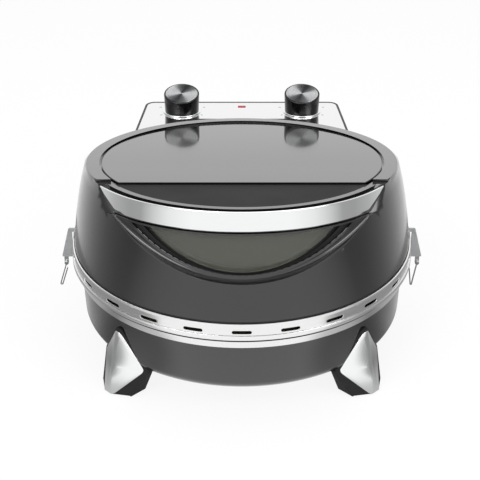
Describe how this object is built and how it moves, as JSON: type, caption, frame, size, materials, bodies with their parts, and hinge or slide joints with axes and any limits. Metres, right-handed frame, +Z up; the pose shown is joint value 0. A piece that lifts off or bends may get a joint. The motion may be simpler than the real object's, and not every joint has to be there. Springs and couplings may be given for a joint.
{
  "type": "pizza oven",
  "caption": "Round countertop pizza oven: domed lid with a curved window and bright handle band, slotted steel ring, wedge feet, control box with two knobs behind.",
  "frame": {"origin": "on the worktop, under the centre of the round bowl: the axis of the bowl, the stone and the lid's wall", "axes": "+Z up, -Y towards the window and handle at the front, +Y towards the control box, +X to the right of someone facing the window"},
  "size_m": [0.3795, 0.4235, 0.213],
  "materials": {
    "graphite_paint": "satin dark graphite enamel with a fine metallic fleck",
    "metallic_moulding": "dark metallic moulding, softly glossy",
    "gloss_disc": "dark metallic panel, polished",
    "graphite_housing": "fine moulded texture, dark graphite",
    "plated_steel": "zinc plated",
    "brushed_band": "satin steel, brushed round the oven",
    "aluminised_steel": "bright rolled sheet",
    "element_sheath": "heat-darkened tube",
    "stone": "unglazed, fine grain",
    "dark_plastic": "dark moulded plastic",
    "polished_inlay": "polished steel",
    "pad_rubber": "matt",
    "panel_steel": "finely brushed, nearly polished",
    "red_lens": "clear red, glossy",
    "pale_plastic": "heat-proof moulding",
    "chrome": "mirror polished",
    "knob_black": "black, glossy",
    "turned_metal": "turned, concentric grooves",
    "hinge_steel": "painted steel",
    "glass": "tempered, lightly smoked",
    "latch_paint": "light grey metallic paint",
    "spring_steel": "bright spring sheet"
  },
  "bodies": {
    "base": {"base_bowl": "graphite_paint", "base_plate": "plated_steel", "trim_flange": "brushed_band", "slotted_band": "brushed_band", "inner_tray": "aluminised_steel", "lower_element": "element_sheath", "lower_element_clips": "plated_steel", "baking_stone": "stone", "front_foot_left": "dark_plastic", "front_foot_right": "dark_plastic", "foot_inlay_left": "polished_inlay", "foot_inlay_right": "polished_inlay", "rear_feet": "dark_plastic", "foot_pads": "pad_rubber", "control_housing": "graphite_housing", "housing_floor": "graphite_housing", "control_panel": "panel_steel", "indicator_lens": "red_lens", "pilot_lamp": "pale_plastic", "knob_collar_left": "chrome", "knob_collar_right": "chrome", "timer_mechanism": "pale_plastic", "thermostat_mechanism": "pale_plastic", "terminal_block": "pale_plastic", "cord_gland": "dark_plastic", "hinge_brackets": "hinge_steel", "hinge_pins": "plated_steel", "base_screws": "plated_steel", "housing_screws": "plated_steel", "hinge_screws": "plated_steel"},
    "lid": {"lid_shell": "metallic_moulding", "lid_trim_ring": "brushed_band", "top_panel": "gloss_disc", "grip_panel": "dark_plastic", "handle_band": "chrome", "handle_backing": "dark_plastic", "window_frame": "dark_plastic", "window_gasket": "pad_rubber", "window_glass": "glass", "lid_reflector": "aluminised_steel", "upper_element": "element_sheath", "upper_element_clips": "plated_steel", "hasp_left": "latch_paint", "hasp_right": "latch_paint", "latch_hanger_left": "spring_steel", "latch_hanger_right": "spring_steel", "latch_pins": "plated_steel", "hinge_arms": "hinge_steel"},
    "timer_dial": {"timer_shaft": "plated_steel", "timer_knob": "knob_black", "timer_knob_cap": "turned_metal"},
    "thermostat_dial": {"thermostat_shaft": "plated_steel", "thermostat_knob": "knob_black", "thermostat_knob_cap": "turned_metal"},
    "left_latch": {"latch_lever_left": "spring_steel"},
    "right_latch": {"latch_lever_right": "spring_steel"}
  },
  "joints": [
    {"name": "lid_hinge", "type": "hinge", "parent": "base", "child": "lid", "pos_m": [0, 0.1855, 0.1435], "axis": [-1, 0, 0], "range_deg": [0, 90]},
    {"name": "timer_turn", "type": "hinge", "parent": "base", "child": "timer_dial", "pos_m": [-0.0703, 0.2193, 0.154], "axis": [0, 0, -1], "range_deg": [0, 300]},
    {"name": "thermostat_turn", "type": "hinge", "parent": "base", "child": "thermostat_dial", "pos_m": [0.0703, 0.2193, 0.154], "axis": [0, 0, -1], "range_deg": [0, 270]},
    {"name": "left_latch_swing", "type": "hinge", "parent": "lid", "child": "left_latch", "pos_m": [-0.1836, 0, 0.072], "axis": [0, 1, 0], "range_deg": [0, 45]},
    {"name": "right_latch_swing", "type": "hinge", "parent": "lid", "child": "right_latch", "pos_m": [0.1836, 0, 0.072], "axis": [0, -1, 0], "range_deg": [0, 60]}
  ]
}
